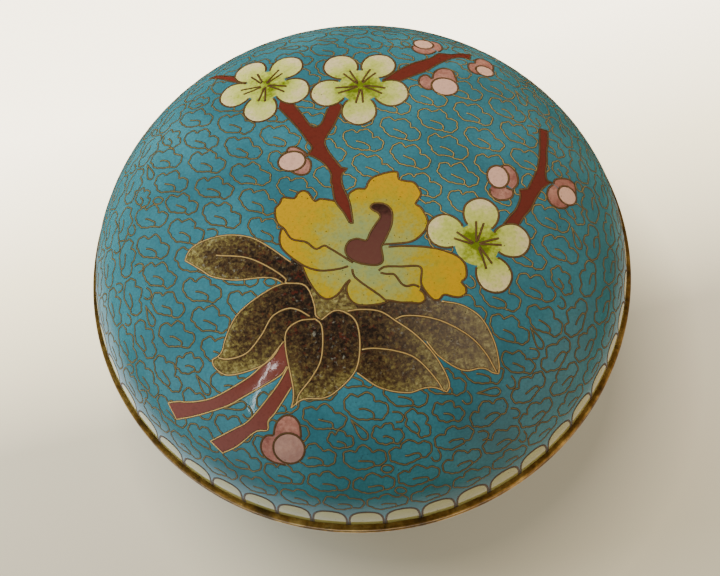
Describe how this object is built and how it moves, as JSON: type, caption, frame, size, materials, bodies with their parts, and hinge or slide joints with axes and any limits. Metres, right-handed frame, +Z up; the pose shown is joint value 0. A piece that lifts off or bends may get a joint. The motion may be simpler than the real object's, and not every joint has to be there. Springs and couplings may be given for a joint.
{
  "type": "cloisonne enamel box",
  "caption": "Round covered box: footed enamelled bowl with a domed lid that lifts off, gilt rims and foot ring.",
  "frame": {"origin": "centre of the foot ring's underside, on the surface that the box stands on", "axes": "+Z up along the turning axis; -Y towards the side of the lid seen in front, +X to the right of it"},
  "size_m": [0.12, 0.12, 0.0609],
  "materials": {
    "foot_gilt": "worn gilt",
    "bowl_enamel": "polished enamel on copper",
    "bowl_rim_gilt": "worn gilt",
    "lid_rim_gilt": "worn gilt",
    "lid_enamel": "polished enamel on copper"
  },
  "bodies": {
    "root": {"foot_ring": "foot_gilt", "bowl_body": "bowl_enamel", "bowl_rim": "bowl_rim_gilt", "lid_rim": "lid_rim_gilt", "lid_body": "lid_enamel"}
  },
  "joints": []
}
